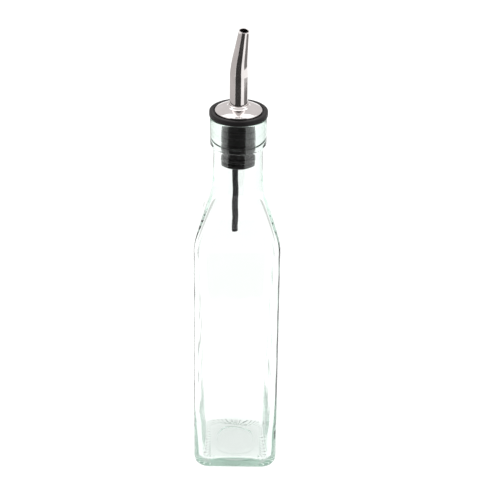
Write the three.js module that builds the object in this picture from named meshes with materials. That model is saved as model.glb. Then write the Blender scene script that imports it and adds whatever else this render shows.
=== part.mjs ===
// An empty square glass bottle for oil or vinegar, with a steel pouring spout.
// Millimetres, +Z up. The origin is the middle of the base, on the surface that it stands on.
import * as THREE from "three";
import { mergeVertices } from "three/addons/utils/BufferGeometryUtils.js";

// Glass body: a square with rounded corners that turns round at the shoulder
const BODY_SIDE = 46;
const BODY_CORNER_RADIUS = 8.8;
const HEEL_RADIUS = 3.8;
const SIDE_TOP = 136;
const NECK_FOOT = 172;
const NECK_FOOT_RADIUS = 13.5;
const NECK_RADIUS = 13.0;
const NECK_TOP = 187.5;
const ROUND_ABOVE = 166;
const SQUARE_BELOW = 144;

// Glass rim at the mouth
const RIM_RADIUS = 14.8;
const RIM_BOTTOM = 192.3;
const GLASS_HEIGHT = 207.1;
const RIM_EDGE = 0.8;

// Inside of the glass
const WALL = 2.4;
const INNER_CORNER_RADIUS = 5.5;
const INNER_FOOT_RADIUS = 3.6;
const FLOOR_HEIGHT = 5.4;
const FLOOR_DOME = 0.9;
const BORE_RADIUS = 9.3;
const INNER_SIDE_TOP = 134;
const BORE_FOOT = 169;

// Underside
const BEARING_INNER = 15.2;
const PUSH_UP = 2.4;

// Black stopper: a collar on the rim and a ribbed plug in the bore
const COLLAR_RADIUS = 15.25;
const COLLAR_TOP = 209.85;
const PLUG_BOTTOM = 180;
const PLUG_CORE_RADIUS = 7.5;
const RIB_RADIUS = 9.15;
const LOW_RIB = { bottom: 183.2, thickness: 2.2 };
const HIGH_RIB = { bottom: 189.4, thickness: 3.2 };
const TOP_BAND_HEIGHT = 12.6;
const END_BAND_HEIGHT = 2.4;
const PASSAGE_RADIUS = 4.85;

// Domed steel cap on the collar
const CAP_RADIUS = 12.2;
const CAP_CREST = 213.2;
const CAP_THICKNESS = 0.6;
const FIT_GAP = 0.1;

// Steel spout: straight from the stopper, then bent and tapered to its tip
const SPOUT_RADIUS = 4.7;
const SPOUT_TIP_RADIUS = 2.62;
const SPOUT_WALL = 0.5;
const SPOUT_FOOT = 196;
const BEND_START = 230;
const BEND_END = 239;
const SPOUT_REACH = 16.5;
const LEAN_FORWARD = 10;
const LEAN_RIGHT = 6.5;

// Breather tube: a thin black tube that hangs from the stopper's passage
const TUBE_RADIUS = 1.65;
const TUBE_BORE_RADIUS = 0.9;
const TUBE_X = -1.85;
const TUBE_Y = 2.35;
const TUBE_TOP = 195.5;
const TUBE_BOTTOM = 139;
const TUBE_DRIFT = 0.55;
const TUBE_WAVE = 0.12;

// How finely round shapes are divided
const CORNER_STEPS = 10;
const ROUND_STEPS = 36;
const SPOUT_STEPS = 24;
const TUBE_SIDES = 12;
const CURVE_STEPS = 10;
const ARC_STEPS = 4;

const radians = THREE.MathUtils.degToRad;
const halfSide = BODY_SIDE / 2;
const innerHalf = halfSide - WALL;

// One level outline: a square with rounded corners, or a circle when the corner radius is the half width.
// Its short edges touch the true arcs, so its sides are exactly the half width from the middle.
function outline(halfWidth, cornerRadius, z) {
  const centre = halfWidth - cornerRadius;
  const stepAngle = Math.PI / 2 / CORNER_STEPS;
  const reach = cornerRadius / Math.cos(stepAngle / 2);
  const points = [];
  for (let corner = 0; corner < 4; corner += 1) {
    for (let step = 0; step < CORNER_STEPS; step += 1) {
      const within = (step + 0.5) * stepAngle;
      const x = centre + reach * Math.cos(within);
      const y = centre + reach * Math.sin(within);
      const point = new THREE.Vector3(x, y, z);
      points.push(point.applyAxisAngle(new THREE.Vector3(0, 0, 1), (corner * Math.PI) / 2));
    }
  }
  return points;
}

function circle(radius, z) {
  return outline(radius, radius, z);
}

function pole(z) {
  return [new THREE.Vector3(0, 0, z)];
}

// A closed skin over outlines with the same number of points, in order. A single point closes an end as
// a pole, and an outline list without poles closes on its own first outline.
function skin(outlines) {
  const vertices = [];
  const starts = [];
  for (const points of outlines) {
    starts.push(vertices.length / 3);
    for (const point of points) vertices.push(point.x, point.y, point.z);
  }
  const indices = [];
  const hasPoles = outlines[0].length === 1;
  const last = hasPoles ? outlines.length - 1 : outlines.length;
  for (let level = 0; level < last; level += 1) {
    const next = (level + 1) % outlines.length;
    const low = outlines[level].length;
    const high = outlines[next].length;
    const sides = Math.max(low, high);
    for (let side = 0; side < sides; side += 1) {
      const a = starts[level] + (side % low);
      const b = starts[level] + ((side + 1) % low);
      const c = starts[next] + ((side + 1) % high);
      const d = starts[next] + (side % high);
      if (low > 1) indices.push(a, b, c);
      if (high > 1) indices.push(a, c, d);
    }
  }
  const geometry = new THREE.BufferGeometry();
  geometry.setAttribute("position", new THREE.Float32BufferAttribute(vertices, 3));
  geometry.setIndex(indices);
  geometry.computeVertexNormals();
  return geometry;
}

// Points of a quarter arc round a centre, from one angle to another, without its first point.
function arc(centreR, centreZ, radius, fromDegrees, toDegrees) {
  const points = [];
  for (let step = 1; step <= ARC_STEPS; step += 1) {
    const angle = radians(fromDegrees + ((toDegrees - fromDegrees) * step) / ARC_STEPS);
    points.push([centreR + radius * Math.cos(angle), centreZ + radius * Math.sin(angle)]);
  }
  return points;
}

// The shoulder's side view: upright at the neck, swelling out, and upright again where it meets the side.
function shoulderCurve(neckRadius, neckZ, sideHalf, sideZ) {
  const height = neckZ - sideZ;
  const curve = new THREE.CubicBezierCurve(
    new THREE.Vector2(sideHalf, sideZ),
    new THREE.Vector2(sideHalf - 0.6, sideZ + height * 0.34),
    new THREE.Vector2(neckRadius, neckZ - height * 0.4),
    new THREE.Vector2(neckRadius, neckZ),
  );
  return curve.getPoints(CURVE_STEPS);
}

// The shoulder's corner radius grows from the body's own to a full circle.
function shoulderOutline(halfWidth, z, cornerRadius) {
  const square = 1 - THREE.MathUtils.smoothstep(z, SQUARE_BELOW, ROUND_ABOVE);
  return outline(halfWidth, halfWidth - (halfWidth - Math.min(cornerRadius, halfWidth)) * square, z);
}

function bottleGeometry() {
  const outlines = [pole(PUSH_UP)];

  // Underside: a shallow push-up inside a flat bearing ring, then the rounded heel
  const heelCentre = halfSide - HEEL_RADIUS;
  const bearingCorner = BODY_CORNER_RADIUS - HEEL_RADIUS;
  for (const share of [0.4, 0.75, 1]) {
    const z = PUSH_UP * (1 - share * share);
    outlines.push(outline(BEARING_INNER * share, bearingCorner * share, z));
  }
  outlines.push(outline(heelCentre, bearingCorner, 0));
  for (const [half, z] of arc(heelCentre, HEEL_RADIUS, HEEL_RADIUS, -90, 0)) {
    outlines.push(outline(half, bearingCorner + half - heelCentre, z));
  }

  // Side, shoulder and neck
  for (const point of shoulderCurve(NECK_FOOT_RADIUS, NECK_FOOT, halfSide, SIDE_TOP)) {
    outlines.push(shoulderOutline(point.x, point.y, BODY_CORNER_RADIUS));
  }
  outlines.push(circle(NECK_RADIUS + 0.1, NECK_TOP - 5));
  outlines.push(circle(NECK_RADIUS, NECK_TOP));

  // Rim, from the tight step under it over its flat top and into the bore
  const stepOut = RIM_RADIUS - NECK_RADIUS;
  const stepZ = RIM_BOTTOM - stepOut;
  outlines.push(circle(NECK_RADIUS + stepOut * 0.06, stepZ - 0.6));
  outlines.push(circle(NECK_RADIUS + stepOut * 0.45, stepZ + 0.15));
  outlines.push(circle(NECK_RADIUS + stepOut * 0.87, RIM_BOTTOM - 1));
  outlines.push(circle(RIM_RADIUS, RIM_BOTTOM));
  for (const [radius, z] of arc(RIM_RADIUS - RIM_EDGE, GLASS_HEIGHT - RIM_EDGE, RIM_EDGE, 0, 90)) {
    outlines.push(circle(radius, z));
  }
  outlines.push(circle(BORE_RADIUS + RIM_EDGE, GLASS_HEIGHT));
  outlines.push(circle(BORE_RADIUS, GLASS_HEIGHT - RIM_EDGE));

  // Inside: bore, shoulder and side
  const inside = shoulderCurve(BORE_RADIUS, BORE_FOOT, innerHalf, INNER_SIDE_TOP);
  for (const point of inside.reverse()) {
    outlines.push(shoulderOutline(point.x, point.y, INNER_CORNER_RADIUS));
  }

  // Inside: rounded foot of the wall and the slightly domed floor
  const footCentre = innerHalf - INNER_FOOT_RADIUS;
  const footCorner = INNER_CORNER_RADIUS - INNER_FOOT_RADIUS;
  const footZ = FLOOR_HEIGHT + INNER_FOOT_RADIUS;
  const foot = arc(footCentre, footZ, INNER_FOOT_RADIUS, 0, -90);
  for (const [half, z] of [[innerHalf, footZ], ...foot]) {
    outlines.push(outline(half, footCorner + half - footCentre, z));
  }
  for (const share of [0.7, 0.35]) {
    const z = FLOOR_HEIGHT + FLOOR_DOME * (1 - share * share);
    outlines.push(outline(footCentre * share, footCorner * share, z));
  }
  outlines.push(pole(FLOOR_HEIGHT + FLOOR_DOME));
  return skin(outlines);
}

// A ring turned round the Z axis from a closed side view of [radius, z] points.
function turned(profile) {
  const points = profile.map(([radius, z]) => new THREE.Vector2(radius, z));
  points.push(points[0].clone());
  const geometry = new THREE.LatheGeometry(points, ROUND_STEPS);
  geometry.rotateX(Math.PI / 2);
  return geometry;
}

function stopperGeometry() {
  const profile = [[PASSAGE_RADIUS, PLUG_BOTTOM]];

  // End band with a bevelled lead-in
  const bevel = 0.7;
  profile.push([PLUG_CORE_RADIUS + 0.5, PLUG_BOTTOM]);
  profile.push([RIB_RADIUS - 0.25, PLUG_BOTTOM + bevel]);
  profile.push([RIB_RADIUS - 0.25, PLUG_BOTTOM + END_BAND_HEIGHT]);
  profile.push([PLUG_CORE_RADIUS, PLUG_BOTTOM + END_BAND_HEIGHT]);

  // Two sealing ribs, each thinner at its edge
  for (const { bottom, thickness } of [LOW_RIB, HIGH_RIB]) {
    profile.push([PLUG_CORE_RADIUS, bottom]);
    profile.push([RIB_RADIUS, bottom + thickness * 0.3]);
    profile.push([RIB_RADIUS, bottom + thickness * 0.8]);
    profile.push([PLUG_CORE_RADIUS, bottom + thickness]);
  }

  // Top band, collar with a fine line round its side, and the recess that holds the cap
  const bandBottom = GLASS_HEIGHT - TOP_BAND_HEIGHT;
  const collarEdge = 0.35;
  const lineZ = GLASS_HEIGHT + 1.2;
  const lineDepth = 0.3;
  profile.push([PLUG_CORE_RADIUS, bandBottom]);
  profile.push([RIB_RADIUS, bandBottom + 0.4]);
  profile.push([RIB_RADIUS, GLASS_HEIGHT]);
  profile.push([COLLAR_RADIUS - collarEdge, GLASS_HEIGHT]);
  profile.push([COLLAR_RADIUS, GLASS_HEIGHT + collarEdge]);
  profile.push([COLLAR_RADIUS, lineZ - lineDepth]);
  profile.push([COLLAR_RADIUS - lineDepth, lineZ]);
  profile.push([COLLAR_RADIUS, lineZ + lineDepth]);
  profile.push([COLLAR_RADIUS, COLLAR_TOP - collarEdge]);
  profile.push([COLLAR_RADIUS - collarEdge, COLLAR_TOP]);
  profile.push([CAP_RADIUS + 0.9, COLLAR_TOP]);
  profile.push([CAP_RADIUS + 0.6, COLLAR_TOP - 0.5]);
  profile.push([CAP_RADIUS - CAP_THICKNESS, COLLAR_TOP - 0.5]);

  // Low dome under the cap, down to the passage
  for (const [radius, z] of capCurve().reverse()) {
    profile.push([radius - CAP_THICKNESS, z - CAP_THICKNESS - FIT_GAP]);
  }
  profile.push([PASSAGE_RADIUS, CAP_CREST - CAP_THICKNESS - 1.4]);
  return turned(profile);
}

// Side view of the cap's outer face, from near the spout out to its edge.
function capCurve() {
  const edgeZ = COLLAR_TOP + 0.5;
  const inner = SPOUT_RADIUS + 1.6;
  const rise = CAP_CREST - 0.9 - edgeZ;
  const points = [];
  for (let step = 0; step <= ARC_STEPS; step += 1) {
    const across = step / ARC_STEPS;
    points.push([inner + (CAP_RADIUS - inner) * across, edgeZ + rise * (1 - across ** 1.7)]);
  }
  return points;
}

function capGeometry() {
  const hole = SPOUT_RADIUS + FIT_GAP;
  const top = capCurve();
  const profile = [];
  const underEdge = COLLAR_TOP - 0.5 + FIT_GAP;

  // Underside from the hole out to the rolled edge
  profile.push([hole, CAP_CREST - CAP_THICKNESS]);
  for (const [radius, z] of top) {
    profile.push([radius - CAP_THICKNESS + (radius === CAP_RADIUS ? FIT_GAP : 0), z - CAP_THICKNESS]);
  }
  profile.push([CAP_RADIUS - CAP_THICKNESS + FIT_GAP, underEdge]);
  profile.push([CAP_RADIUS, underEdge]);

  // Outer face back to the small bead round the spout
  for (const [radius, z] of top.reverse()) profile.push([radius, z]);
  profile.push([hole + 0.7, CAP_CREST]);
  profile.push([hole + 0.3, CAP_CREST + 0.4]);
  profile.push([hole, CAP_CREST + 0.4]);
  return turned(profile);
}

// The spout's middle line: upright, a bend, then straight on at its lean.
function spoutLine() {
  const lean = new THREE.Vector3(Math.tan(radians(LEAN_RIGHT)), -Math.tan(radians(LEAN_FORWARD)), 1);
  lean.normalize();
  const bendMiddle = new THREE.Vector3(0, 0, (BEND_START + BEND_END) / 2);
  const bendExit = bendMiddle.clone().addScaledVector(lean, BEND_END - bendMiddle.z);
  const tip = bendExit.clone().addScaledVector(lean, SPOUT_REACH);
  const bend = new THREE.QuadraticBezierCurve3(new THREE.Vector3(0, 0, BEND_START), bendMiddle, bendExit);
  const stations = [];
  stations.push({ at: new THREE.Vector3(0, 0, SPOUT_FOOT), along: new THREE.Vector3(0, 0, 1) });
  for (let step = 0; step <= CURVE_STEPS; step += 1) {
    const share = step / CURVE_STEPS;
    stations.push({ at: bend.getPoint(share), along: bend.getTangent(share) });
  }
  stations.push({ at: bendExit.clone().lerp(tip, 0.5), along: lean });
  stations.push({ at: tip, along: lean });
  return stations;
}

function spoutGeometry() {
  const up = new THREE.Vector3(0, 0, 1);
  const stations = spoutLine();
  const tipZ = stations[stations.length - 1].at.z;
  const ring = ({ at, along }, inset) => {
    const taper = THREE.MathUtils.clamp((at.z - BEND_START) / (tipZ - BEND_START), 0, 1);
    const radius = THREE.MathUtils.lerp(SPOUT_RADIUS, SPOUT_TIP_RADIUS, taper) - inset;
    const turn = new THREE.Quaternion().setFromUnitVectors(up, along);
    const points = [];
    for (let step = 0; step < SPOUT_STEPS; step += 1) {
      const angle = (step / SPOUT_STEPS) * 2 * Math.PI;
      const point = new THREE.Vector3(radius * Math.cos(angle), radius * Math.sin(angle), 0);
      points.push(point.applyQuaternion(turn).add(at));
    }
    return points;
  };
  const outer = stations.map((station) => ring(station, 0));
  const inner = stations.map((station) => ring(station, SPOUT_WALL)).reverse();
  return skin([...outer, ...inner]);
}

function tubeGeometry() {
  const ringSection = new THREE.Shape();
  ringSection.absarc(0, 0, TUBE_RADIUS, 0, 2 * Math.PI);
  const bore = new THREE.Path();
  bore.absarc(0, 0, TUBE_BORE_RADIUS, 0, 2 * Math.PI, true);
  ringSection.holes.push(bore);

  // Straight where the stopper holds it, then drifting a little and slightly wavy down to its free end
  const points = [];
  const bends = 24;
  for (let step = 0; step <= bends; step += 1) {
    const share = step / bends;
    const z = TUBE_TOP + (TUBE_BOTTOM - TUBE_TOP) * share;
    const free = THREE.MathUtils.smoothstep(PLUG_BOTTOM - z, -4, 16);
    const wave = TUBE_WAVE * Math.sin((PLUG_BOTTOM - z) / 2.2);
    points.push(new THREE.Vector3(TUBE_X + (TUBE_DRIFT + wave) * free, TUBE_Y, z));
  }
  const path = new THREE.CatmullRomCurve3(points);
  const geometry = new THREE.ExtrudeGeometry(ringSection, {
    steps: 24,
    curveSegments: TUBE_SIDES / 2,
    extrudePath: path,
    bevelEnabled: false,
  });
  return geometry;
}

function piece(name, geometry, look) {
  const bare = geometry.clone();
  bare.deleteAttribute("normal");
  bare.deleteAttribute("uv");
  const closed = mergeVertices(bare, 1e-4);
  closed.computeVertexNormals();
  const mesh = new THREE.Mesh(closed, new THREE.MeshStandardMaterial(look));
  mesh.name = name;
  return mesh;
}

const bottle = new THREE.Group();
const glassLook = { color: 0xdfe9e2, roughness: 0.04, metalness: 0, transparent: true, opacity: 0.35 };
const plasticLook = { color: 0x2b2829, roughness: 0.45, metalness: 0 };
const steelLook = { color: 0xc9c2c0, roughness: 0.12, metalness: 1 };
const tubeLook = { color: 0x1c1b1c, roughness: 0.5, metalness: 0 };

bottle.add(piece("bottle", bottleGeometry(), glassLook));
bottle.add(piece("stopper", stopperGeometry(), plasticLook));
bottle.add(piece("cap_disc", capGeometry(), steelLook));
bottle.add(piece("spout", spoutGeometry(), steelLook));
bottle.add(piece("breather_tube", tubeGeometry(), tubeLook));

export default bottle;
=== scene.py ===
"""An empty square glass bottle for oil or vinegar, with a black stopper and a bent steel spout."""

import math

import bpy
import numpy as np
from mathutils import Matrix, Quaternion, Vector


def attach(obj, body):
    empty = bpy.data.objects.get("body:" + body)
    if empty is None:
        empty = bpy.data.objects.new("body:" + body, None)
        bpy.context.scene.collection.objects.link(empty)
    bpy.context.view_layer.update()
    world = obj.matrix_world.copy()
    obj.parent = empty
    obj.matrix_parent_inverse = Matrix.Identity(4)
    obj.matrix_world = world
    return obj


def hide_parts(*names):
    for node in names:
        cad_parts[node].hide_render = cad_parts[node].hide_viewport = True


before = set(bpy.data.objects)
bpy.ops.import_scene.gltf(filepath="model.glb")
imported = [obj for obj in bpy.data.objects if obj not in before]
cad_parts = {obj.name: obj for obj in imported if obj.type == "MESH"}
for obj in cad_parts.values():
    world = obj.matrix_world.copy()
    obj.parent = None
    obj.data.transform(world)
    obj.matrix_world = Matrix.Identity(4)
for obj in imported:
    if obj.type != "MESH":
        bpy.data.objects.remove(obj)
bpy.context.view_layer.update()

# Shapes are drawn in millimetres, and the frame is in metres
MM = 0.001

# Outside and bore of the glass, the same as in the frame
HALF_SIDE = 23.0
CORNER_RADIUS = 8.8
HEEL_RADIUS = 3.8
SIDE_TOP = 136.0
NECK_FOOT = 172.0
NECK_FOOT_RADIUS = 13.5
NECK_RADIUS = 13.0
NECK_TOP = 187.5
ROUND_ABOVE = 166.0
SQUARE_BELOW = 144.0
RIM_RADIUS = 14.8
RIM_BOTTOM = 192.3
RIM_EDGE = 0.8
GLASS_HEIGHT = 207.1
BORE_RADIUS = 9.3
BEARING_INNER = 15.2
PUSH_UP = 2.4

# Fine forms of the outside, which the frame leaves out
NECK_EASE = 0.1
NECK_FILLET = 2.2
RING_MARK_RADIUS = 10.5
RING_MARK_WIDTH = 0.7
RING_MARK_DEPTH = 1.1
GROOVE_COUNT = 58
GROOVE_DEPTH = 0.45
GROOVE_UNEVENNESS = 0.9

# Inside of the glass, tuned to the light in its walls, so that it differs a little from the frame's
INNER_SIDE_TOP = 135.0
BORE_FOOT = 170.5
WALL_TOP = 2.0
WALL_LOW = 2.6
WALL_FOOT = 4.2
THICK_BELOW = 36.0
INNER_CORNER = 6.8
INNER_FOOT = 2.6
FOOT_ARC = 60
FLOOR_HEIGHT = 4.8
FLOOR_DOME = 3.2
DOME_FADES_BY = 18.0
CREASE_WIDTH = 0.7
CREASE_DEPTH = 0.6
UNEVENNESS = 0.05
INSIDE_SHIFT = 0.3

# Stopper. This, the cap, the spout and the tube have the frame's sizes, with finer trim
COLLAR_RADIUS = 15.25
COLLAR_TOP = 209.85
COLLAR_EDGE = 0.35
COLLAR_LINES = 3
COLLAR_LINE_PITCH = 0.6
COLLAR_LINE_DEPTH = 0.3
PLUG_BOTTOM = 180.0
PLUG_CORE_RADIUS = 7.5
PASSAGE_RADIUS = 4.85
RIB_RADIUS = 9.15
RIB_COUNT = 2
RIB_PITCH = 6.7
RIB_THICKNESS = 2.2
RIB_GROWTH = 0.45
FIRST_RIB = 184.3
TOP_BAND_HEIGHT = 12.6
SEAL_GROOVES = 2
SEAL_GROOVE_PITCH = 3.6
SEAL_GROOVE_DEPTH = 0.5
END_BAND_HEIGHT = 2.4
STOPPER_ROUNDING = 0.1

# Cap
CAP_RADIUS = 12.2
CAP_CREST = 213.2
CAP_THICKNESS = 0.6
CAP_EDGE_HEIGHT = 0.5
CAP_FLAT_WIDTH = 1.6
CAP_DOME_DROP = 0.9
CAP_DOME_POWER = 1.7
FIT_GAP = 0.1

# Spout
SPOUT_RADIUS = 4.7
SPOUT_TIP_RADIUS = 2.62
SPOUT_WALL = 0.5
SPOUT_LIP = 0.25
SPOUT_FOOT = 196.0
BEND_START = 230.0
BEND_END = 239.0
SPOUT_REACH = 16.5
LEAN_FORWARD = 10.0
LEAN_RIGHT = 6.5

# Breather tube
TUBE_RADIUS = 1.65
TUBE_BORE_RADIUS = 0.9
TUBE_X = -1.85
TUBE_Y = 2.35
TUBE_TOP = 195.5
TUBE_BOTTOM = 139.0
TUBE_DRIFT = 0.55
TUBE_WAVE = 0.12
TUBE_WAVE_STRETCH = 2.2
TUBE_CUT_SLANT = 7.0
TUBE_SHELL_DROP = 0.1
TUBE_RING_PITCH = 1.7
TUBE_RING_HEIGHT = 0.07
TUBE_RING_TILT = 0.12

# Points round each turned or lofted shape
AROUND_GLASS = 360
AROUND = 128
AROUND_TUBE = 32

# The photograph's camera, in its own pixels and in metres
IMAGE_SIDE = 480
FOCAL_PIXELS = 1740.75
SENSOR_MM = 36.0
CAMERA_PLACE = (0.001476, -0.82253, 0.57615)
CAMERA_DOWN = 28.27
CAMERA_ROLL = 0.6565

# The studio, in metres and in strengths of light
EXPOSURE = 0.3
SURROUNDINGS = 0.58
SOFTBOX = 1.35
FLOOR_REACH = 60.0
FLOOR_GLOW = 0.93
# Painted shadow: the floor's glow under the bottle
FLOOR_GLOW_IN_PAINTED_SHADOW = 0.71
CARD_TINT = (1.0, 0.96, 0.95)
GLASS_BOUNCES = 32
STEEL_BOUNCES = 12


# Camera


def make_camera():
    data = bpy.data.cameras.new("camera")
    data.sensor_width = SENSOR_MM
    data.lens = FOCAL_PIXELS / IMAGE_SIDE * SENSOR_MM
    data.clip_start = 0.01
    data.clip_end = 50
    camera = bpy.data.objects.new("camera", data)
    bpy.context.scene.collection.objects.link(camera)
    tilt = Matrix.Rotation(math.radians(90 - CAMERA_DOWN), 4, "X")
    roll = Matrix.Rotation(math.radians(CAMERA_ROLL), 4, "Z")
    camera.matrix_world = Matrix.Translation(CAMERA_PLACE) @ tilt @ roll
    bpy.context.scene.camera = camera


# Outlines and skins


def rounded_square(half, corner, z, count=AROUND_GLASS):
    """A level outline at even angles: a rounded square, or a circle where corner equals half."""
    angles = np.arange(count) * 2 * math.pi / count
    folded = np.abs((angles + math.pi / 4) % (math.pi / 2) - math.pi / 4)
    centre = half - corner
    on_arc = centre * (np.cos(folded) + np.sin(folded))
    on_arc += np.sqrt(np.maximum(corner**2 - centre**2 * (1 - np.sin(2 * folded)), 0))
    radius = np.where(folded <= math.atan2(centre, half), half / np.cos(folded), on_arc)
    level = np.full(count, float(z))
    return np.column_stack((radius * np.cos(angles), radius * np.sin(angles), level))


def circle(radius, z, count=AROUND_GLASS):
    """A level circle of points."""
    return rounded_square(radius, radius, z, count)


def pole(z):
    """One point on the axis, which closes an end."""
    return np.array([[0.0, 0.0, float(z)]])


def arc(centre_r, centre_z, radius, start, end, steps):
    """Points of an arc in side view, without its first point."""
    angles = np.radians(np.linspace(start, end, steps + 1))[1:]
    return [(centre_r + radius * math.cos(a), centre_z + radius * math.sin(a)) for a in angles]


def bezier(p0, p1, p2, p3, steps):
    """Points of a cubic curve, from its first point to its last."""
    t = np.linspace(0, 1, steps + 1)[:, None]
    p0, p1, p2, p3 = (np.array(p, float) for p in (p0, p1, p2, p3))
    return (1 - t) ** 3 * p0 + 3 * (1 - t) ** 2 * t * p1 + 3 * (1 - t) * t**2 * p2 + t**3 * p3


def smoothstep(low, high, value):
    """0 up to low, 1 from high on, and an even ease between them."""
    share = min(max((value - low) / (high - low), 0.0), 1.0)
    return share * share * (3 - 2 * share)


def skin(name, outlines):
    """A closed mesh over outlines in order. Single points close the ends, or else it joins its start."""
    starts = np.cumsum([0] + [len(points) for points in outlines])
    has_poles = len(outlines[0]) == 1
    faces = []
    for level in range(len(outlines) - (1 if has_poles else 0)):
        following = (level + 1) % len(outlines)
        low, high = len(outlines[level]), len(outlines[following])
        side = np.arange(max(low, high))
        a = starts[level] + side % low
        b = starts[level] + (side + 1) % low
        c = starts[following] + (side + 1) % high
        d = starts[following] + side % high
        if low == 1:
            faces += np.column_stack((a, c, d)).tolist()
        elif high == 1:
            faces += np.column_stack((a, b, c)).tolist()
        else:
            faces += np.column_stack((a, b, c, d)).tolist()
    mesh = bpy.data.meshes.new(name)
    mesh.from_pydata((np.vstack(outlines) * MM).tolist(), [], faces)
    mesh.update()
    mesh.shade_smooth()
    made = bpy.data.objects.new(name, mesh)
    bpy.context.scene.collection.objects.link(made)
    return made


def turned(name, profile, count=AROUND):
    """A ring turned round the Z axis from a closed side view of (radius, z) points, anticlockwise."""
    return skin(name, [circle(radius, z, count) for radius, z in profile])


def rounded(profile, radius, steps=3, most=0.45):
    """The closed side view with each corner cut by a small curve, so that edges catch the light.

    A cut takes at most the given share of the lines beside its corner.
    """
    points = [Vector(point) for point in profile]
    result = []
    for index, corner in enumerate(points):
        before = points[index - 1] - corner
        after = points[(index + 1) % len(points)] - corner
        cut = min(radius, before.length * most, after.length * most)
        start = corner + before.normalized() * cut
        end = corner + after.normalized() * cut
        for step in range(steps + 1):
            t = step / steps
            point = start * (1 - t) ** 2 + corner * 2 * t * (1 - t) + end * t**2
            result.append((point.x, point.y))
    return result


# Geometry Nodes helpers


def new_tree(name, inputs):
    """A Geometry Nodes tree with a geometry input and output and the given named inputs."""
    tree = bpy.data.node_groups.new(name, "GeometryNodeTree")
    tree.interface.new_socket(name="Geometry", in_out="INPUT", socket_type="NodeSocketGeometry")
    for label, kind, value in inputs:
        socket = tree.interface.new_socket(name=label, in_out="INPUT", socket_type=kind)
        if value is not None:
            socket.default_value = value
    tree.interface.new_socket(name="Geometry", in_out="OUTPUT", socket_type="NodeSocketGeometry")
    return tree


def add_node(tree, kind, settings=None, **inputs):
    """A node with its settings, and each input given as a value or as the socket that feeds it.

    An input is named with _ for a space, or as _ and its number.
    """
    node = tree.nodes.new(kind)
    for label, value in (settings or {}).items():
        setattr(node, label, value)
    for label, value in inputs.items():
        key = int(label[1:]) if label[0] == "_" and label[1:].isdigit() else label.replace("_", " ")
        socket = node.inputs[key]
        if isinstance(value, bpy.types.NodeSocket):
            tree.links.new(value, socket)
        else:
            socket.default_value = value
    return node


def math_node(tree, operation, first, second=0.0):
    """The output of a Math node."""
    return add_node(tree, "ShaderNodeMath", {"operation": operation}, _0=first, _1=second).outputs[0]


def finish_tree(tree, geometry, material):
    """Every tree ends in real geometry with its material."""
    real = add_node(tree, "GeometryNodeRealizeInstances", Geometry=geometry)
    finished = add_node(tree, "GeometryNodeSetMaterial", Geometry=real.outputs[0], Material=material)
    output = tree.nodes.new("NodeGroupOutput")
    tree.links.new(finished.outputs[0], output.inputs["Geometry"])


def apply_tree(piece, tree, values):
    """Runs the tree on the piece with the named values, and keeps the result as the piece's plain mesh."""
    modifier = piece.modifiers.new(tree.name, "NODES")
    modifier.node_group = tree
    for item in tree.interface.items_tree:
        if item.in_out == "INPUT" and item.name in values:
            modifier[item.identifier] = values[item.name]
    depsgraph = bpy.context.evaluated_depsgraph_get()
    made = bpy.data.meshes.new_from_object(piece.evaluated_get(depsgraph), depsgraph=depsgraph)
    piece.modifiers.clear()
    piece.data = made
    made.shade_smooth()


# Materials


def new_material(name, **settings):
    """A Principled material with plain values on the shader's own sockets."""
    material = bpy.data.materials.new(name)
    material.use_nodes = True
    tree = material.node_tree
    shader = tree.nodes["Principled BSDF"]
    for label, value in settings.items():
        shader.inputs[label.replace("_", " ")].default_value = value
    return material, tree, shader


def noise(tree, scale, detail=2.0, stretch=(1, 1, 1)):
    """Noise in the piece's own coordinates."""
    place = tree.nodes.new("ShaderNodeTexCoord").outputs["Object"]
    mapping = add_node(tree, "ShaderNodeMapping", Vector=place, Scale=stretch)
    texture = add_node(tree, "ShaderNodeTexNoise", Vector=mapping.outputs[0], Scale=scale, Detail=detail)
    return texture.outputs[0]


def spread(tree, value, low, high, start=0.3, end=0.7):
    """A number that goes from low to high while the value goes from start to end."""
    ranged = add_node(tree, "ShaderNodeMapRange", Value=value, From_Min=start, From_Max=end)
    ranged.inputs["To Min"].default_value = low
    ranged.inputs["To Max"].default_value = high
    return ranged.outputs[0]


def two_tones(tree, value, first, second, start=0.0, end=1.0):
    """A colour that goes from the first to the second while the value goes from start to end."""
    ramp = tree.nodes.new("ShaderNodeValToRGB")
    for element, place, tone in zip(ramp.color_ramp.elements, (start, end), (first, second)):
        element.position = place
        element.color = (*tone, 1)
    tree.links.new(value, ramp.inputs[0])
    return ramp.outputs[0]


def bump(tree, height, distance, strength):
    """The normal of a surface with that height."""
    return add_node(tree, "ShaderNodeBump", Height=height, Distance=distance, Strength=strength).outputs[0]


def glass_material():
    """Clear soda glass: a faint green where it is thick, with the slight ripple of blown glass."""
    material, tree, shader = new_material(
        "clear_glass", Base_Color=(1, 1, 1, 1), Roughness=0.0, IOR=1.5, Transmission_Weight=1.0
    )
    ripple = noise(tree, scale=38, detail=1.5, stretch=(1, 1, 0.35))
    haze = spread(tree, noise(tree, scale=260), low=0.0, high=0.03, start=0.55, end=0.8)
    tree.links.new(haze, shader.inputs["Roughness"])
    tree.links.new(bump(tree, ripple, distance=0.0006, strength=0.05), shader.inputs["Normal"])
    absorb = add_node(tree, "ShaderNodeVolumeAbsorption", Color=(0.16, 0.58, 0.39, 1), Density=16.0)
    tree.links.new(absorb.outputs[0], tree.nodes["Material Output"].inputs["Volume"])
    return material


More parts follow.
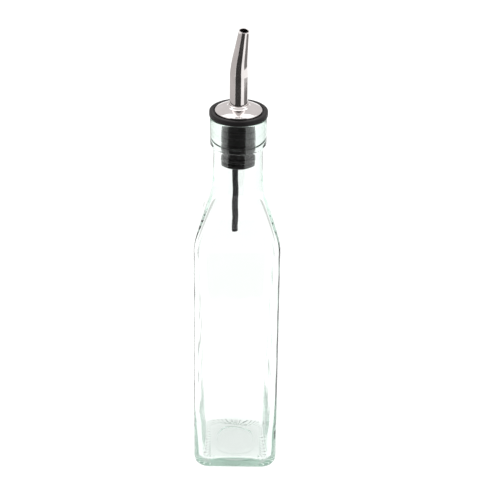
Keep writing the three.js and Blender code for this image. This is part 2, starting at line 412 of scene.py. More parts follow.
def plastic_material():
    """Black moulded plastic: satin, with a fine grain and duller patches."""
    material, tree, shader = new_material("black_plastic", Specular_IOR_Level=0.3)
    patches = noise(tree, scale=90, detail=3.0)
    grain = noise(tree, scale=2600)
    colour = two_tones(tree, patches, (0.006, 0.005, 0.006), (0.015, 0.013, 0.014))
    tree.links.new(colour, shader.inputs["Base Color"])
    tree.links.new(spread(tree, patches, low=0.28, high=0.44), shader.inputs["Roughness"])
    tree.links.new(bump(tree, grain, distance=0.00006, strength=0.35), shader.inputs["Normal"])
    return material


def steel_material(name, base, roughness, streaks=(1, 1, 1)):
    """Polished stainless steel: fine turning marks, smudges and hairline wear."""
    material, tree, shader = new_material(name, Metallic=1.0)
    smudges = noise(tree, scale=160, detail=4.0)
    marks = noise(tree, scale=900, detail=3.0, stretch=streaks)
    smudged = [value * 0.88 for value in base]
    colour = two_tones(tree, smudges, smudged, base, start=0.3, end=0.75)
    tree.links.new(colour, shader.inputs["Base Color"])
    dullness = spread(tree, smudges, low=roughness * 0.7, high=roughness * 1.6)
    tree.links.new(dullness, shader.inputs["Roughness"])
    tree.links.new(bump(tree, marks, distance=0.00002, strength=0.3), shader.inputs["Normal"])
    return material


def tube_material():
    """Soft black tube: dull, with a light bloom."""
    material, tree, shader = new_material("black_tube", Specular_IOR_Level=0.4)
    bloom = noise(tree, scale=700, detail=3.0)
    colour = two_tones(tree, bloom, (0.018, 0.018, 0.020), (0.05, 0.05, 0.055))
    tree.links.new(colour, shader.inputs["Base Color"])
    tree.links.new(spread(tree, bloom, low=0.4, high=0.6), shader.inputs["Roughness"])
    tree.links.new(bump(tree, bloom, distance=0.0001, strength=0.4), shader.inputs["Normal"])
    return material


# The glass bottle


def shoulder(neck_radius, neck_z, side_half, side_z, steps=44):
    """The shoulder's side view from the side up to the neck."""
    height = neck_z - side_z
    lean_in, pull_from_side, pull_from_neck = 0.6, 0.34, 0.4
    return bezier(
        (side_half, side_z),
        (side_half - lean_in, side_z + height * pull_from_side),
        (neck_radius, neck_z - height * pull_from_neck),
        (neck_radius, neck_z),
        steps,
    )


def shoulder_outline(half, z, corner):
    """A level of the shoulder, which turns from square to round on its way up."""
    square = 1 - smoothstep(SQUARE_BELOW, ROUND_ABOVE, z)
    return rounded_square(half, half - (half - min(corner, half)) * square, z)


def uneven(points):
    """The blown inside isn't quite even: low waves run round it, and it sits a little to the left."""
    x, y, z = points.T
    turn = np.arctan2(y, x)
    waves = np.sin(0.33 * z + 2 * turn + 1.3) + np.sin(0.21 * z - 3 * turn + 0.4)
    waves += np.sin(9 * turn + 0.09 * z) + 0.6 * np.sin(16 * turn - 0.05 * z + 2.0)
    height = points[:, 2].mean()
    above_foot = smoothstep(8, 24, height)
    below_side_top = 1 - smoothstep(118, 134, height)
    below_neck = 1 - smoothstep(136, 160, height)
    amount = above_foot * below_side_top * UNEVENNESS
    points[:, :2] *= (1 + amount * waves / np.hypot(x, y))[:, None]
    points[:, 0] -= above_foot * below_neck * INSIDE_SHIFT
    return points


def underside_levels():
    """The underside, as outlines with how strongly the bearing ring's grooves cut each of them."""
    heel_centre = HALF_SIDE - HEEL_RADIUS
    bearing_corner = CORNER_RADIUS - HEEL_RADIUS
    levels = [(pole(PUSH_UP), 0.0)]

    # Push-up with one plain raised ring, round in the middle and nearly square at its edge
    push_steps = 30
    for step in range(1, push_steps + 1):
        share = step / push_steps
        half = BEARING_INNER * share
        corner = half - (half - bearing_corner * share) * smoothstep(0.55, 1, share)
        ring = math.exp(-(((half - RING_MARK_RADIUS) / RING_MARK_WIDTH) ** 2)) * RING_MARK_DEPTH
        z = PUSH_UP * (1 - share * share) - ring * (1 - share)
        levels.append((rounded_square(half, corner, z), smoothstep(0.86, 1, share)))

    # Bearing ring
    bearing_steps = 12
    for step in range(1, bearing_steps + 1):
        half = BEARING_INNER + (heel_centre - BEARING_INNER) * (step / bearing_steps)
        levels.append((rounded_square(half, bearing_corner, 0), 1.0))

    # Heel, on which the grooves run out
    heel_steps, groove_steps = 14, 6
    for step, (half, z) in enumerate(arc(heel_centre, HEEL_RADIUS, HEEL_RADIUS, -90, 0, heel_steps)):
        corner = bearing_corner + half - heel_centre
        levels.append((rounded_square(half, corner, z), max(0.0, 1 - (step + 1) / groove_steps)))
    return levels


def outside_outlines():
    """The outside from the heel up the side and the shoulder to the neck."""
    side_levels = 5
    heights = np.linspace(HEEL_RADIUS + 6, SIDE_TOP - 8, side_levels)
    outlines = [rounded_square(HALF_SIDE, CORNER_RADIUS, z) for z in heights]
    for half, z in shoulder(NECK_FOOT_RADIUS, NECK_FOOT, HALF_SIDE, SIDE_TOP):
        outlines.append(shoulder_outline(half, z, CORNER_RADIUS))
    outlines.append(circle(NECK_RADIUS + NECK_EASE, NECK_TOP - 5))
    return outlines


def rim_outlines():
    """A tight fillet out of the neck, the rim's rounded lower edge, its side, and its lip into the bore."""
    step_out = RIM_RADIUS - NECK_RADIUS
    under_edge = RIM_BOTTOM - step_out
    lip_z = GLASS_HEIGHT - RIM_EDGE
    curve_steps, lip_steps = 10, 6
    meeting = (NECK_RADIUS + step_out * 0.45, under_edge + 0.15)
    fillet = bezier(
        (NECK_RADIUS, under_edge - NECK_FILLET),
        (NECK_RADIUS, under_edge - 0.3),
        (NECK_RADIUS + NECK_EASE, under_edge),
        meeting,
        curve_steps,
    )
    lower_edge = bezier(
        meeting,
        (NECK_RADIUS + step_out * 0.9, under_edge + 0.35),
        (RIM_RADIUS, RIM_BOTTOM - 0.9),
        (RIM_RADIUS, RIM_BOTTOM),
        curve_steps,
    )
    profile = [*fillet, *lower_edge[1:], (RIM_RADIUS, lip_z - 4), (RIM_RADIUS, lip_z)]
    profile += arc(RIM_RADIUS - RIM_EDGE, lip_z, RIM_EDGE, 0, 90, lip_steps)
    profile += arc(BORE_RADIUS + RIM_EDGE, lip_z, RIM_EDGE, 90, 180, lip_steps)
    return [circle(radius, z) for radius, z in profile]


def inside_outlines():
    """The inside from the bore down the shoulder and the side to where the wall starts to thicken."""
    inner_top = HALF_SIDE - WALL_TOP
    inner_low = HALF_SIDE - WALL_LOW
    outlines = [circle(BORE_RADIUS, BORE_FOOT + 14)]
    for half, z in shoulder(BORE_RADIUS, BORE_FOOT, inner_top, INNER_SIDE_TOP)[::-1]:
        outlines.append(uneven(shoulder_outline(half, z, INNER_CORNER)))
    side_steps = 35
    for share in np.linspace(0, 1, side_steps + 1)[1:-1]:
        half = inner_top + (inner_low - inner_top) * share
        z = INNER_SIDE_TOP + (THICK_BELOW - INNER_SIDE_TOP) * share
        outlines.append(uneven(rounded_square(half, INNER_CORNER, z)))
    return outlines


def floor_outlines():
    """The thick foot of the wall, rounded below, the crease that it ends in, and the domed floor."""
    inner_low = HALF_SIDE - WALL_LOW
    inner_foot = HALF_SIDE - WALL_FOOT
    foot_z = FLOOR_HEIGHT + INNER_FOOT * math.sin(math.radians(FOOT_ARC))
    thick_steps, foot_steps = 14, 12
    thick = bezier(
        (inner_low, THICK_BELOW),
        (inner_low - 0.3, 26),
        (inner_foot + 0.3, 18),
        (inner_foot, foot_z),
        thick_steps,
    )
    foot = [*thick, *arc(inner_foot - INNER_FOOT, foot_z, INNER_FOOT, 0, -FOOT_ARC, foot_steps)]
    floor_half = foot[-1][0]
    floor_corner = INNER_CORNER - (inner_low - floor_half)
    floor_reach = (floor_half - floor_corner) * math.sqrt(2) + floor_corner

    def domed(points, share=1):
        away = np.hypot(points[:, 0], points[:, 1]) / floor_reach
        points[:, 2] += share * FLOOR_DOME * np.maximum(1 - away**2, 0)
        return points

    outlines = []
    for half, z in foot:
        outline = rounded_square(half, INNER_CORNER - (inner_low - half), z)
        outlines.append(uneven(domed(outline, 1 - smoothstep(FLOOR_HEIGHT, DOME_FADES_BY, z))))
    bottom_share = 0.4
    for inward, depth in ((CREASE_WIDTH * bottom_share, CREASE_DEPTH), (CREASE_WIDTH, 0.0)):
        outline = rounded_square(floor_half - inward, floor_corner - inward, FLOOR_HEIGHT - depth)
        outlines.append(domed(outline))
    floor_steps = 14
    for step in range(1, floor_steps):
        share = 1 - step / floor_steps
        outlines.append(domed(rounded_square(floor_half * share, floor_corner * share, FLOOR_HEIGHT)))
    outlines.append(pole(FLOOR_HEIGHT + FLOOR_DOME))
    return outlines


def glass_levels():
    """The whole glass skin, from the middle of the underside round to the middle of the floor."""
    smooth = [*outside_outlines(), *rim_outlines(), *inside_outlines(), *floor_outlines()]
    return [*underside_levels(), *((outline, 0.0) for outline in smooth)]


def bearing_grooves_tree():
    """Short grooves across the bearing ring, which differ a little in place."""
    tree = new_tree(
        "bearing_grooves",
        [
            ("Pitch", "NodeSocketFloat", 0.003),
            ("Depth", "NodeSocketFloat", 0.0004),
            ("Unevenness", "NodeSocketFloat", 1.0),
            ("Seed", "NodeSocketFloat", 1.0),
            ("Material", "NodeSocketMaterial", None),
        ],
    )
    given = tree.nodes.new("NodeGroupInput").outputs
    around = add_node(tree, "GeometryNodeInputNamedAttribute", {"data_type": "FLOAT"}, Name="around")
    mark = add_node(tree, "GeometryNodeInputNamedAttribute", {"data_type": "FLOAT"}, Name="mark")
    place = tree.nodes.new("GeometryNodeInputPosition").outputs[0]
    drift = add_node(
        tree, "ShaderNodeTexNoise", {"noise_dimensions": "4D"}, Vector=place, W=given["Seed"], Scale=180.0
    )
    turns = math_node(tree, "DIVIDE", around.outputs[0], given["Pitch"])
    shift = math_node(tree, "MULTIPLY", drift.outputs[0], given["Unevenness"])
    phase = math_node(tree, "MULTIPLY", math_node(tree, "ADD", turns, shift), 2 * math.pi)
    wave = math_node(tree, "SINE", phase)
    groove = add_node(tree, "ShaderNodeMapRange", Value=wave, From_Min=-0.1, From_Max=0.7)
    reach = math_node(tree, "MULTIPLY", mark.outputs[0], given["Depth"])
    lift = math_node(tree, "MULTIPLY", groove.outputs[0], reach)
    offset = add_node(tree, "ShaderNodeCombineXYZ", Z=lift)
    moved = add_node(tree, "GeometryNodeSetPosition", Geometry=given["Geometry"], Offset=offset.outputs[0])
    finish_tree(tree, moved.outputs[0], given["Material"])
    return tree


def make_glass(material):
    levels = glass_levels()
    piece = skin("glass_body", [outline for outline, mark in levels])

    # Each point carries its distance round the bearing ring and how strongly the grooves cut it
    heel = rounded_square(HALF_SIDE - HEEL_RADIUS, CORNER_RADIUS - HEEL_RADIUS, 0) * MM
    steps = np.linalg.norm(np.diff(heel, axis=0, append=heel[:1]), axis=1)
    distance = np.concatenate(([0.0], np.cumsum(steps)[:-1]))
    around = np.concatenate([distance if len(outline) > 1 else [0.0] for outline, mark in levels])
    marks = np.concatenate([np.full(len(outline), mark) for outline, mark in levels])
    for label, numbers in (("around", around), ("mark", marks)):
        layer = piece.data.attributes.new(label, "FLOAT", "POINT")
        layer.data.foreach_set("value", numbers.astype(np.float32))
    values = {
        "Pitch": float(steps.sum()) / GROOVE_COUNT,
        "Depth": GROOVE_DEPTH * MM,
        "Unevenness": GROOVE_UNEVENNESS,
        "Seed": 4.0,
        "Material": material,
    }
    apply_tree(piece, bearing_grooves_tree(), values)
    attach(piece, "root")
    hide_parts("bottle")


# The black stopper


def cap_curve(steps=16):
    """Side view of the cap's outer face, from near the spout out to its edge."""
    edge_z = COLLAR_TOP + CAP_EDGE_HEIGHT
    inner = SPOUT_RADIUS + CAP_FLAT_WIDTH
    rise = CAP_CREST - CAP_DOME_DROP - edge_z
    shares = np.linspace(0, 1, steps + 1)
    return [(inner + (CAP_RADIUS - inner) * s, edge_z + rise * (1 - s**CAP_DOME_POWER)) for s in shares]


def plug_profile():
    """Side view of the plug's outside, up to the collar. The ribs are added by their own tree."""
    end_band = RIB_RADIUS - 0.25
    end_band_top = PLUG_BOTTOM + END_BAND_HEIGHT
    top_band = GLASS_HEIGHT - TOP_BAND_HEIGHT
    profile = [
        (PASSAGE_RADIUS, PLUG_BOTTOM),
        (PLUG_CORE_RADIUS + 0.3, PLUG_BOTTOM),
        (end_band, PLUG_BOTTOM + 0.9),
        (end_band, end_band_top),
        (PLUG_CORE_RADIUS, end_band_top + 0.15),
        (PLUG_CORE_RADIUS, top_band),
        (RIB_RADIUS, top_band + 0.5),
    ]
    # Shallow grooves part the top band into sealing rings
    first_groove, slope, flat = 3.0, 0.25, 0.4
    for groove in range(SEAL_GROOVES):
        z = top_band + first_groove + groove * SEAL_GROOVE_PITCH
        profile.append((RIB_RADIUS, z))
        profile.append((RIB_RADIUS - SEAL_GROOVE_DEPTH, z + slope))
        profile.append((RIB_RADIUS - SEAL_GROOVE_DEPTH, z + slope + flat))
        profile.append((RIB_RADIUS, z + slope + flat + slope))
    profile.append((RIB_RADIUS, GLASS_HEIGHT))
    return profile


def collar_profile():
    """Side view of the collar, from its underside out and up to the ledge that the cap's edge sits in."""
    ledge = COLLAR_TOP - 0.1
    seat = COLLAR_TOP - 0.75
    profile = [(COLLAR_RADIUS - COLLAR_EDGE, GLASS_HEIGHT), (COLLAR_RADIUS, GLASS_HEIGHT + COLLAR_EDGE)]
    # Fine moulded lines round the collar's side
    first_line, half_width = 0.8, 0.14
    for line in range(COLLAR_LINES):
        z = GLASS_HEIGHT + first_line + line * COLLAR_LINE_PITCH
        profile.append((COLLAR_RADIUS, z - half_width))
        profile.append((COLLAR_RADIUS - COLLAR_LINE_DEPTH, z))
        profile.append((COLLAR_RADIUS, z + half_width))
    profile += [
        (COLLAR_RADIUS - 0.02, COLLAR_TOP - 0.3),
        (COLLAR_RADIUS - 0.3, COLLAR_TOP),
        (CAP_RADIUS + 1.5, COLLAR_TOP),
        (CAP_RADIUS + 1.35, ledge),
        (CAP_RADIUS + 0.85, ledge),
        (CAP_RADIUS + 0.65, seat),
        (CAP_RADIUS - CAP_THICKNESS, seat),
    ]
    return profile


def stopper_profile():
    """The stopper's whole side view, closed under the cap and down the passage."""
    curve = cap_curve(8)[::-1]
    under_cap = [(r - CAP_THICKNESS, z - CAP_THICKNESS - FIT_GAP) for r, z in curve]
    passage_top = (PASSAGE_RADIUS, CAP_CREST - CAP_THICKNESS - 1.4)
    return [*plug_profile(), *collar_profile(), *under_cap, passage_top]


def plug_ribs_tree():
    """Sealing ribs stacked up the plug, each thicker than the one below it."""
    tree = new_tree(
        "plug_ribs",
        [
            ("Count", "NodeSocketInt", 3),
            ("First height", "NodeSocketFloat", 0.1),
            ("Pitch", "NodeSocketFloat", 0.0037),
            ("Radius", "NodeSocketFloat", 0.009),
            ("Core radius", "NodeSocketFloat", 0.008),
            ("Thickness", "NodeSocketFloat", 0.002),
            ("Growth", "NodeSocketFloat", 0.0),
            ("Material", "NodeSocketMaterial", None),
        ],
    )
    given = tree.nodes.new("NodeGroupInput").outputs
    first = add_node(tree, "ShaderNodeCombineXYZ", Z=given["First height"])
    step = add_node(tree, "ShaderNodeCombineXYZ", Z=given["Pitch"])
    line = add_node(
        tree,
        "GeometryNodeMeshLine",
        {"mode": "OFFSET"},
        Count=given["Count"],
        Start_Location=first.outputs[0],
        Offset=step.outputs[0],
    )
    # The rib's section is a rounded bar half sunk in the core
    depth = math_node(tree, "SUBTRACT", given["Radius"], given["Core radius"])
    hoop = add_node(
        tree, "GeometryNodeCurvePrimitiveCircle", Resolution=AROUND, Radius=given["Core radius"]
    )
    bar = add_node(
        tree,
        "GeometryNodeCurvePrimitiveQuadrilateral",
        Width=given["Thickness"],
        Height=math_node(tree, "MULTIPLY", depth, 2.0),
    )
    eased = add_node(
        tree,
        "GeometryNodeFilletCurve",
        {"mode": "POLY"},
        Curve=bar.outputs[0],
        Count=5,
        Radius=math_node(tree, "MULTIPLY", given["Thickness"], 0.4),
        Limit_Radius=True,
    )
    turn = add_node(
        tree, "GeometryNodeTransform", Geometry=eased.outputs[0], Rotation=(0.0, 0.0, math.pi / 2)
    )
    rib = add_node(tree, "GeometryNodeCurveToMesh", Curve=hoop.outputs[0], Profile_Curve=turn.outputs[0])
    number = tree.nodes.new("GeometryNodeInputIndex").outputs[0]
    growth = math_node(tree, "MULTIPLY", number, given["Growth"])
    scale = add_node(tree, "ShaderNodeCombineXYZ", X=1.0, Y=1.0, Z=math_node(tree, "ADD", growth, 1.0))
    ribs = add_node(
        tree,
        "GeometryNodeInstanceOnPoints",
        Points=line.outputs[0],
        Instance=rib.outputs[0],
        Scale=scale.outputs[0],
    )
    joined = tree.nodes.new("GeometryNodeJoinGeometry")
    tree.links.new(given["Geometry"], joined.inputs[0])
    tree.links.new(ribs.outputs[0], joined.inputs[0])
    finish_tree(tree, joined.outputs[0], given["Material"])
    return tree


def make_stopper(material):
    piece = turned("stopper_plastic", rounded(stopper_profile(), STOPPER_ROUNDING))
    values = {
        "Count": RIB_COUNT,
        "First height": FIRST_RIB * MM,
        "Pitch": RIB_PITCH * MM,
        "Radius": RIB_RADIUS * MM,
        "Core radius": PLUG_CORE_RADIUS * MM,
        "Thickness": RIB_THICKNESS * MM,
        "Growth": RIB_GROWTH,
        "Material": material,
    }
    apply_tree(piece, plug_ribs_tree(), values)
    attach(piece, "root")
    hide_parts("stopper")


# The steel cap and spout


def make_cap(material):
    hole = SPOUT_RADIUS + FIT_GAP
    top = cap_curve()
    under_edge = COLLAR_TOP - 0.4
    skirt = CAP_RADIUS - CAP_THICKNESS + FIT_GAP
    profile = [(hole, CAP_CREST - CAP_THICKNESS)]
    profile += [(r - CAP_THICKNESS, z - CAP_THICKNESS) for r, z in top[:-1]]
    profile += [(skirt, COLLAR_TOP), (skirt, under_edge)]
    profile += [(CAP_RADIUS - 0.1, under_edge), (CAP_RADIUS, under_edge + 0.3)]
    profile += top[::-1]
    # A low lip stands round the spout
    lip = ((1.1, -0.45), (0.75, 0.0), (0.5, 0.3), (0.2, 0.4), (0.0, 0.3))
    profile += [(hole + outward, CAP_CREST + upward) for outward, upward in lip]
    piece = turned("cap_steel", profile)
    piece.data.materials.append(material)
    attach(piece, "root")
    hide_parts("cap_disc")


def spout_stations():
    """The spout's middle line as (place, direction): upright, a bend, then straight on at its lean."""
    forward, right = math.radians(LEAN_FORWARD), math.radians(LEAN_RIGHT)
    lean = Vector((math.tan(right), -math.tan(forward), 1)).normalized()
    upright = Vector((0, 0, 1))
    middle = Vector((0, 0, (BEND_START + BEND_END) / 2))
    start = Vector((0, 0, BEND_START))
    leaving = middle + lean * (BEND_END - middle.z)
    stations = [(Vector((0, 0, z)), upright) for z in np.linspace(SPOUT_FOOT, BEND_START - 1, 12)]
    bend_steps = 20
    for step in range(bend_steps + 1):
        t = step / bend_steps
        place = start * (1 - t) ** 2 + middle * 2 * t * (1 - t) + leaving * t**2
        along = (middle - start) * (1 - t) + (leaving - middle) * t
        stations.append((place, along.normalized()))
    reach_steps = 14
    for step in range(1, reach_steps + 1):
        stations.append((leaving + lean * SPOUT_REACH * step / reach_steps, lean))
    return stations


def ring_at(place, along, radius, count=AROUND):
    """A circle of points round a place, square to the direction along."""
    turn = Vector((0, 0, 1)).rotation_difference(along)
    flat = circle(radius, 0, count)
    matrix = np.array(turn.to_matrix())
    return flat @ matrix.T + np.array(place)


def make_spout(steel, dull_and_shaded):
    """The spout, polished outside, and dull inside, where its colour is painted dark as shade."""
    stations = spout_stations()
    tip, lean = stations[-1]

    def radius_at(place):
        taper = min(max((place.z - BEND_START) / (tip.z - BEND_START), 0), 1)
        return SPOUT_RADIUS + (SPOUT_TIP_RADIUS - SPOUT_RADIUS) * taper

    outer = [ring_at(place, along, radius_at(place)) for place, along in stations[:-1]]
    lip_steps = 6
    for turn in np.linspace(0, math.pi, lip_steps + 1):
        place = tip - lean * (SPOUT_LIP * (1 - math.sin(turn)))
        outer.append(ring_at(place, lean, SPOUT_TIP_RADIUS - SPOUT_LIP * (1 - math.cos(turn))))
    inner = [ring_at(place, along, radius_at(place) - SPOUT_WALL) for place, along in stations[-2::-1]]
    piece = skin("spout_steel", outer + inner)
    piece.data.materials.append(steel)
    piece.data.materials.append(dull_and_shaded)
    # The inside faces take the dark steel: painted shade in the bore
    slots = np.zeros(len(piece.data.polygons), dtype=np.int32)
    slots[len(outer) * AROUND : -AROUND] = 1
    piece.data.polygons.foreach_set("material_index", slots)
    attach(piece, "root")
    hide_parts("spout")


# The breather tube


def tube_place(z):
    """The tube's middle at a height: straight in the stopper, drifting and slightly wavy below it."""
    below = PLUG_BOTTOM - z
    held, loose = -4, 16
    free = smoothstep(held, loose, below)
    wave = TUBE_WAVE * math.sin(below / TUBE_WAVE_STRETCH)
    return Vector((TUBE_X + (TUBE_DRIFT + wave) * free, TUBE_Y, z))


def add_middle_line(mesh, count=60):
    """Adds the tube's middle line as loose edges, which the tree of rings takes out again."""
    point_count = len(mesh.vertices)
    edge_count = len(mesh.edges)
    line = [tube_place(z) * MM for z in np.linspace(TUBE_TOP - 0.8, TUBE_BOTTOM + 1.2, count)]
    mesh.vertices.add(len(line))
    for index, place in enumerate(line):
        mesh.vertices[point_count + index].co = place
    mesh.edges.add(len(line) - 1)
    for index in range(len(line) - 1):
        mesh.edges[edge_count + index].vertices = (point_count + index, point_count + index + 1)
    layer = mesh.attributes.new("middle_line", "BOOLEAN", "EDGE")
    layer.data.foreach_set("value", np.arange(len(mesh.edges)) >= edge_count)


def tube_rings_tree():
    """Low rings threaded at an even pitch along the tube's middle line."""
    tree = new_tree(
        "tube_rings",
        [
            ("Pitch", "NodeSocketFloat", 0.0017),
            ("Radius", "NodeSocketFloat", 0.0015),
            ("Height", "NodeSocketFloat", 0.0001),
            ("Tilt", "NodeSocketFloat", 0.15),
            ("Seed", "NodeSocketInt", 3),
            ("Material", "NodeSocketMaterial", None),
        ],
    )
    given = tree.nodes.new("NodeGroupInput").outputs
    parts = add_node(tree, "GeometryNodeSeparateGeometry", {"domain": "EDGE"}, Geometry=given["Geometry"])
    middle = add_node(tree, "GeometryNodeInputNamedAttribute", {"data_type": "BOOLEAN"}, Name="middle_line")
    tree.links.new(middle.outputs[0], parts.inputs["Selection"])
    line = add_node(tree, "GeometryNodeMeshToCurve", Mesh=parts.outputs[0])
    points = add_node(
        tree, "GeometryNodeCurveToPoints", {"mode": "LENGTH"}, Curve=line.outputs[0], Length=given["Pitch"]
    )
    hoop_radius = math_node(tree, "SUBTRACT", given["Radius"], given["Height"])
    hoop = add_node(tree, "GeometryNodeCurvePrimitiveCircle", Resolution=AROUND_TUBE, Radius=hoop_radius)
    bead = add_node(
        tree,
        "GeometryNodeCurvePrimitiveCircle",
        Resolution=8,
        Radius=math_node(tree, "MULTIPLY", given["Height"], 2.0),
    )
    ring = add_node(tree, "GeometryNodeCurveToMesh", Curve=hoop.outputs[0], Profile_Curve=bead.outputs[0])
    limit = math_node(tree, "MULTIPLY", given["Tilt"], -1.0)
    low = add_node(tree, "ShaderNodeCombineXYZ", X=limit, Y=limit)
    high = add_node(tree, "ShaderNodeCombineXYZ", X=given["Tilt"], Y=given["Tilt"])
    tilt = add_node(tree, "FunctionNodeRandomValue", {"data_type": "FLOAT_VECTOR"}, Seed=given["Seed"])
    tree.links.new(low.outputs[0], tilt.inputs["Min"])
    tree.links.new(high.outputs[0], tilt.inputs["Max"])
    rings = add_node(
        tree,
        "GeometryNodeInstanceOnPoints",
        Points=points.outputs["Points"],
        Instance=ring.outputs[0],
        Rotation=tilt.outputs["Value"],
    )
    joined = tree.nodes.new("GeometryNodeJoinGeometry")
    tree.links.new(parts.outputs[1], joined.inputs[0])
    tree.links.new(rings.outputs[0], joined.inputs[0])
    finish_tree(tree, joined.outputs[0], given["Material"])
    return tree


def make_tube(material):
    level_count = 90
    heights = np.linspace(TUBE_TOP, TUBE_BOTTOM + 0.05, level_count)
    cut = Quaternion((0, 1, 0), math.radians(-TUBE_CUT_SLANT)) @ Vector((0, 0, -1))

    def station(index, radius):
        place = tube_place(heights[index])
        along = (tube_place(heights[index] - 0.01) - place).normalized()
        if index == level_count - 1:
            along = cut
            place = place + Vector((0, 0, 0.35))
        return ring_at(place, along, radius, AROUND_TUBE)

    outer = [station(index, TUBE_RADIUS - TUBE_SHELL_DROP) for index in range(level_count)]
    inner = [station(index, TUBE_BORE_RADIUS) for index in range(level_count)][::-1]
    piece = skin("black_breather_tube", outer + inner)
    add_middle_line(piece.data)
    values = {
        "Pitch": TUBE_RING_PITCH * MM,
        "Radius": TUBE_RADIUS * MM,
        "Height": TUBE_RING_HEIGHT * MM,
        "Tilt": TUBE_RING_TILT,
        "Seed": 3,
        "Material": material,
    }
    apply_tree(piece, tube_rings_tree(), values)
    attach(piece, "root")
    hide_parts("breather_tube")


# Studio: pale floor, white surroundings, a soft light, and dark cards that the camera doesn't see


def glow_material(name, colour, strength=1.0):
    """Even light, the same from every side."""
    material = bpy.data.materials.new(name)
    material.use_nodes = True
    tree = material.node_tree
    tree.nodes.clear()
    light = add_node(tree, "ShaderNodeEmission", Color=(*colour, 1), Strength=strength)
    output = tree.nodes.new("ShaderNodeOutputMaterial")
    tree.links.new(light.outputs[0], output.inputs["Surface"])
    return material


def floor_material():
    """White paper that stays bright, with a painted shadow: its glow is turned down under the bottle."""
    material, tree, shader = new_material(
        "white_floor",
        Base_Color=(0.06, 0.06, 0.06, 1),
        Roughness=0.9,
        Specular_IOR_Level=0.1,
        Emission_Color=(1, 1, 0.995, 1),
    )
    place = tree.nodes.new("ShaderNodeTexCoord").outputs["Object"]
    # Painted shadow: the glow is lowest round the middle under the bottle and rises to full a little way
    # out
    painted_shadow_middle, painted_shadow_radius, painted_shadow_end_radius = (0.0, 0.003, 0.0), 0.011, 0.025
    away = add_node(tree, "ShaderNodeVectorMath", {"operation": "DISTANCE"}, _0=place, _1=painted_shadow_middle)
    glow = spread(
        tree,
        away.outputs["Value"],
        low=FLOOR_GLOW_IN_PAINTED_SHADOW,
        high=FLOOR_GLOW,
        start=painted_shadow_radius,
        end=painted_shadow_end_radius,
    )
    tree.links.new(glow, shader.inputs["Emission Strength"])
    return material


def make_panel(name, corners, material):
    """A flat stage piece with the given corners."""
    mesh = bpy.data.meshes.new(name)
    mesh.from_pydata(corners, [], [tuple(range(len(corners)))])
    mesh.materials.append(material)
    panel = bpy.data.objects.new(name, mesh)
    bpy.context.scene.collection.objects.link(panel)
    return panel


def only_for_reflections(material):
    """Lets straight views through the glass pass, so that the card only darkens reflections in it."""
    tree = material.node_tree
    output = tree.nodes["Material Output"]
    glow = output.inputs["Surface"].links[0].from_socket
    reflected = tree.nodes.new("ShaderNodeLightPath").outputs["Glossy Depth"]
    clear = tree.nodes.new("ShaderNodeBsdfTransparent").outputs[0]
    seen = math_node(tree, "GREATER_THAN", reflected, 0.5)
    mixed = add_node(tree, "ShaderNodeMixShader", Fac=seen, _1=clear, _2=glow)
    tree.links.new(mixed.outputs[0], output.inputs["Surface"])


def make_card(name, corners, tone, glass_only=False):
    """A dark card that the camera doesn't see. It shows in reflections alone, or in the glass alone."""
    card = make_panel(name, corners, glow_material(name, [tone * share for share in CARD_TINT]))
    card.visible_camera = False
    card.visible_diffuse = False
    card.visible_shadow = False
    card.visible_glossy = not glass_only
    card.visible_transmission = glass_only
    if glass_only:
        only_for_reflections(card.data.materials[0])


def level_panel(x0, y0, x1, y1, z):
    """Corners of a level rectangle that faces up."""
    return [(x0, y0, z), (x1, y0, z), (x1, y1, z), (x0, y1, z)]


def front_panel(widening, z):
    """Corners of a level card in front of the bottle, which is wider away from it."""
    near, far = -0.12, -1.4
    corners = [(-1.25, far), (0.66, far), (0.1, near), (-0.16, near)]
    return [(x * widening, y, z) for x, y in corners]


def sector(start, end, near, far, level=0.003, steps=12):
    """Corners of a flat ring sector above the floor, its angles counted in degrees from the front."""
    turns = np.radians(np.linspace(start, end, steps + 1))
    inner = [(near * math.sin(a), -near * math.cos(a), level) for a in turns]
    outer = [(far * math.sin(a), -far * math.cos(a), level) for a in turns[::-1]]
    return inner + outer


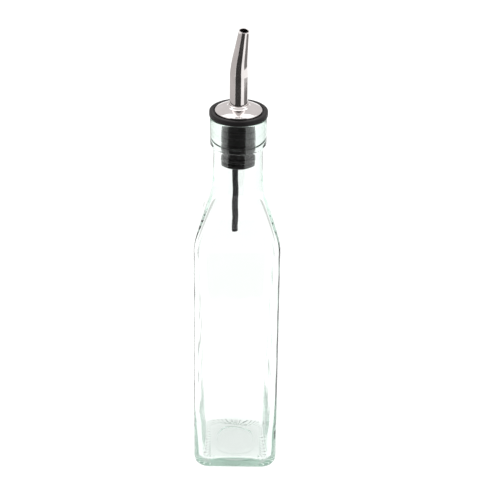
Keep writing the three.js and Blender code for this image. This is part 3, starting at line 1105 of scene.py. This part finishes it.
def make_cards():
    """Dark cards just above the floor, a dark wall behind the camera and a dark patch under the softbox."""
    make_card("front_card", front_panel(widening=1.0, z=0.002), tone=0.04)
    make_card("front_shade", front_panel(widening=1.3, z=0.001), tone=0.05, glass_only=True)
    make_card("left_card", sector(start=-47, end=-176, near=0.42, far=0.95), tone=0.49)
    make_card("right_card", sector(start=70, end=136, near=0.3, far=0.54), tone=0.19)
    half_width, behind_camera, height = 1.3, -1.5, 2.2
    foot = [(-half_width, behind_camera, 0.0), (half_width, behind_camera, 0.0)]
    make_card("front_wall", [*foot, *((x, y, height) for x, y, z in foot[::-1])], tone=0.06)
    make_card("dark_patch", level_panel(-0.1, 0.1, 0.26, 0.18, z=1.05), tone=0.05)


def make_softbox():
    """A soft light above the bottle that faces down."""
    left, right, near, far, z = -1.2, 1.2, -0.25, 0.5, 1.1
    corners = [(left, near, z), (left, far, z), (right, far, z), (right, near, z)]
    softbox = make_panel("softbox", corners, glow_material("softbox", (1, 1, 1), SOFTBOX))
    softbox.visible_camera = False


def make_studio():
    scene = bpy.context.scene
    scene.view_settings.view_transform = "Standard"
    scene.view_settings.exposure = EXPOSURE
    scene.cycles.max_bounces = GLASS_BOUNCES
    scene.cycles.transmission_bounces = GLASS_BOUNCES
    scene.cycles.glossy_bounces = STEEL_BOUNCES
    world = bpy.data.worlds.new("studio")
    world.use_nodes = True
    background = world.node_tree.nodes["Background"]
    background.inputs["Color"].default_value = (1, 0.97, 0.965, 1)
    background.inputs["Strength"].default_value = SURROUNDINGS
    scene.world = world
    floor = level_panel(-FLOOR_REACH, -FLOOR_REACH, FLOOR_REACH, FLOOR_REACH, z=0)
    make_panel("floor", floor, floor_material())
    make_cards()
    make_softbox()


make_camera()
make_studio()
spout_steel = steel_material("spout_steel", (0.80, 0.76, 0.75), roughness=0.07, streaks=(1, 1, 0.04))
cap_steel = steel_material("cap_steel", (0.90, 0.865, 0.855), roughness=0.06)
# Painted shade: a dark copy of the steel for the spout's inside, which is also dull
painted_shade_steel = steel_material("painted_shade_steel", (0.12, 0.11, 0.11), roughness=0.45)
make_glass(glass_material())
make_stopper(plastic_material())
make_cap(cap_steel)
make_spout(spout_steel, painted_shade_steel)
make_tube(tube_material())
